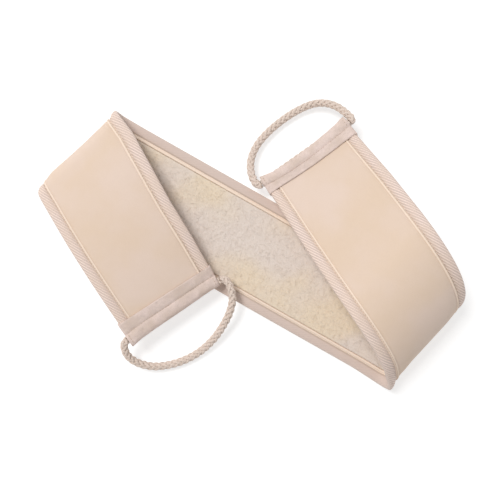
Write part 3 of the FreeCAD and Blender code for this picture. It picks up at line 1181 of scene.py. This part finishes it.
class BuildStep(bpy.types.Operator):
    """Shared ways of the steps that build the scrubber."""

    bl_idname = "scrubber.step"
    bl_label = "Step"

    def execute(self, context):
        self.build(context.scene.scrubber_sizes, context.scene.scrubber_colours)
        return {"FINISHED"}

    def strap_layer(self, layer, points, shift, declare):
        """One layer of the strap in its runs, each bending over its own hinge."""
        for run in strap_runs():
            piece = build_run("%s_%s" % (run.name, layer), run, points, shift)
            dress(piece, *LOOKS[layer])
            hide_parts(*run.replaced(layer))
            declare(piece, run)
            run.bend(piece)


# Material of each layer, and the slot of the record it belongs to
LOOKS = {"back_cloth": ("smooth_jersey", "back_cloth"), "foam": ("pad_foam", "foam"),
         "loofah": ("loofah_mat", "loofah"), "upper_edge_tape": ("twill_tape", "edge_tape"),
         "lower_edge_tape": ("twill_tape", "edge_tape")}


class SCRUBBER_OT_finishes(BuildStep):
    """Makes every material"""

    bl_idname = "scrubber.finishes"
    bl_label = "Finishes"

    def build(self, sizes, colours):
        jersey_finish(colours)
        loofah_finish(colours, "loofah_mat", 0.98)
        loofah_finish(colours, "loofah_fibre", 1.03)
        tape_finish(colours)
        band_finish(colours)
        rope_finish(colours)
        thread_finish(colours)
        foam_finish(colours)
        floor_finish()


class SCRUBBER_OT_swell(BuildStep):
    """Finds how the stuffed pad bulges between its seams"""

    bl_idname = "scrubber.swell"
    bl_label = "Swell of the pad"

    def build(self, sizes, colours):
        SWELL.settle(sizes.swell, sizes.pressure)


class SCRUBBER_OT_back_cloth(BuildStep):
    """Smooth cloth on the outside of the folds"""

    bl_idname = "scrubber.back_cloth"
    bl_label = "Back cloth"

    def build(self, sizes, colours):
        points = layer_outline(*CLOTH_LAYER)
        self.strap_layer("back_cloth", points, cloth_shift, self.declare)

    def declare(self, piece, run):
        max(run.length(), 10 * MM)
        run.replaced("foam")


class SCRUBBER_OT_foam(BuildStep):
    """Thin foam between cloth and loofah"""

    bl_idname = "scrubber.foam"
    bl_label = "Foam"

    def build(self, sizes, colours):
        points = layer_outline((35.6, 4.85), FOAM_EDGE, (35.6, 1.35), 19)
        self.strap_layer("foam", points, None, lambda piece, run: piece)


class SCRUBBER_OT_loofah(BuildStep):
    """Rough loofah face with its tangle of fibres"""

    bl_idname = "scrubber.loofah"
    bl_label = "Loofah"

    def build(self, sizes, colours):
        points = layer_outline((FACE_HALF, 8.0), LOOFAH_EDGE, (36.2, 5.0), 49)
        self.strap_layer("loofah", points, loofah_shift,
                         lambda piece, run: piece)
        for index, run in enumerate(strap_runs()):
            fibres = fibre_tangle(run.name + "_loofah_fibres", run, sizes.fibre_area,
                                  sizes.seed + index)
            dress(fibres, "loofah_fibre", "loofah")
            run.bend(fibres)


class SCRUBBER_OT_edge_tape(BuildStep):
    """Twill tape and its piped lip round both long edges"""

    bl_idname = "scrubber.edge_tape"
    bl_label = "Edge tape"

    def build(self, sizes, colours):
        for side, layer in ((1, "upper_edge_tape"), (-1, "lower_edge_tape")):
            self.strap_layer(layer, edge_outline(side), None, self.declare)

    def declare(self, piece, run):
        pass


class SCRUBBER_OT_seam_thread(BuildStep):
    """Stitches along both edges, on both faces"""

    bl_idname = "scrubber.seam_thread"
    bl_label = "Seam thread"

    def build(self, sizes, colours):
        for run in strap_runs():
            stitches = seam_stitches(run.name + "_seam_stitches", run)
            dress(stitches, "sewing_thread", "thread")
            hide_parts(*run.replaced("seam_thread"))
            run.bend(stitches)


class SCRUBBER_OT_end_bands(BuildStep):
    """Bands folded round the rope at both ends, with their topstitching"""

    bl_idname = "scrubber.end_bands"
    bl_label = "End bands"

    def build(self, sizes, colours):
        for side in FOLDS:
            band = build_band(side + "_band", side)
            dress(band, "band_cotton", "end_tape")
            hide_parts(side + "_end_band")
            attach(band, side + "_panel")
            stitches = band_stitches(side + "_band_topstitch", side)
            dress(stitches, "sewing_thread", "thread")
            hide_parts(side + "_band_stitching")
            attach(stitches, side + "_panel")


class SCRUBBER_OT_ropes(BuildStep):
    """Braided rope loops at both ends"""

    bl_idname = "scrubber.ropes"
    bl_label = "Rope loops"

    def build(self, sizes, colours):
        build_rope("left", LEFT_ROUTE)
        build_rope("right", RIGHT_ROUTE)


class SCRUBBER_OT_stage(BuildStep):
    """Pale floor, soft lights and the camera"""

    bl_idname = "scrubber.stage"
    bl_label = "Stage"

    def build(self, sizes, colours):
        fresh_start()
        bpy.ops.mesh.primitive_plane_add(size=FLOOR_SIZE, location=(0, 0, FLOOR_HEIGHT))
        floor = bpy.context.object
        floor.name = "floor"
        bpy.ops.object.transform_apply(location=True)
        floor.data.materials.append(bpy.data.materials["pale_floor"])
        world = bpy.data.worlds.new("studio")
        bpy.context.scene.world = world
        world.use_nodes = True
        sky = world.node_tree.nodes["Background"]
        sky.inputs["Color"].default_value = (1.0, 1.0, 1.0, 1.0)
        sky.inputs["Strength"].default_value = SKY_STRENGTH
        self.lamp("key", *KEY_LAMP)
        self.camera()
        bpy.context.scene.view_settings.view_transform = "Standard"

    def lamp(self, name, place, size, power):
        light = bpy.data.lights.new(name, "AREA")
        light.size = size
        light.energy = power
        lamp = bpy.data.objects.new(name, light)
        lamp.location = place
        lamp.rotation_euler = Vector(place).to_track_quat("Z", "Y").to_euler()
        bpy.context.collection.objects.link(lamp)

    def camera(self):
        lens = bpy.data.cameras.new("camera")
        lens.lens = CAMERA_LENS
        lens.sensor_width = 36.0
        camera = bpy.data.objects.new("camera", lens)
        camera.location = CAMERA_PLACE
        camera.rotation_euler = (0.0, 0.0, math.radians(CAMERA_TURN))
        bpy.context.collection.objects.link(camera)
        bpy.context.scene.camera = camera


STEPS = [SCRUBBER_OT_finishes, SCRUBBER_OT_swell, SCRUBBER_OT_back_cloth, SCRUBBER_OT_foam,
         SCRUBBER_OT_loofah, SCRUBBER_OT_edge_tape, SCRUBBER_OT_seam_thread,
         SCRUBBER_OT_end_bands, SCRUBBER_OT_ropes, SCRUBBER_OT_stage]


class SCRUBBER_PT_steps(bpy.types.Panel):
    """Lists the building steps in the sidebar"""

    bl_idname = "SCRUBBER_PT_steps"
    bl_label = "Loofah back scrubber"
    bl_space_type = "VIEW_3D"
    bl_region_type = "UI"
    bl_category = "Scrubber"

    def draw(self, context):
        for name in ScrubberColours.__annotations__:
            self.layout.prop(context.scene.scrubber_colours, name)
        for name in ScrubberSizes.__annotations__:
            self.layout.prop(context.scene.scrubber_sizes, name)
        for step in STEPS:
            self.layout.operator(step.bl_idname)


CLASSES = [ScrubberColours, ScrubberSizes, *STEPS, SCRUBBER_PT_steps]


def register():
    for item in CLASSES:
        bpy.utils.register_class(item)
    bpy.types.Scene.scrubber_colours = PointerProperty(type=ScrubberColours)
    bpy.types.Scene.scrubber_sizes = PointerProperty(type=ScrubberSizes)


def unregister():
    del bpy.types.Scene.scrubber_sizes
    del bpy.types.Scene.scrubber_colours
    for item in reversed(CLASSES):
        bpy.utils.unregister_class(item)


def main():
    register()
    for step in STEPS:
        operator = getattr(bpy.ops.scrubber, step.bl_idname.split(".")[1])
        if operator() != {"FINISHED"}:
            raise RuntimeError("%s did not finish" % step.bl_label)


if __name__ == "__main__":
    main()
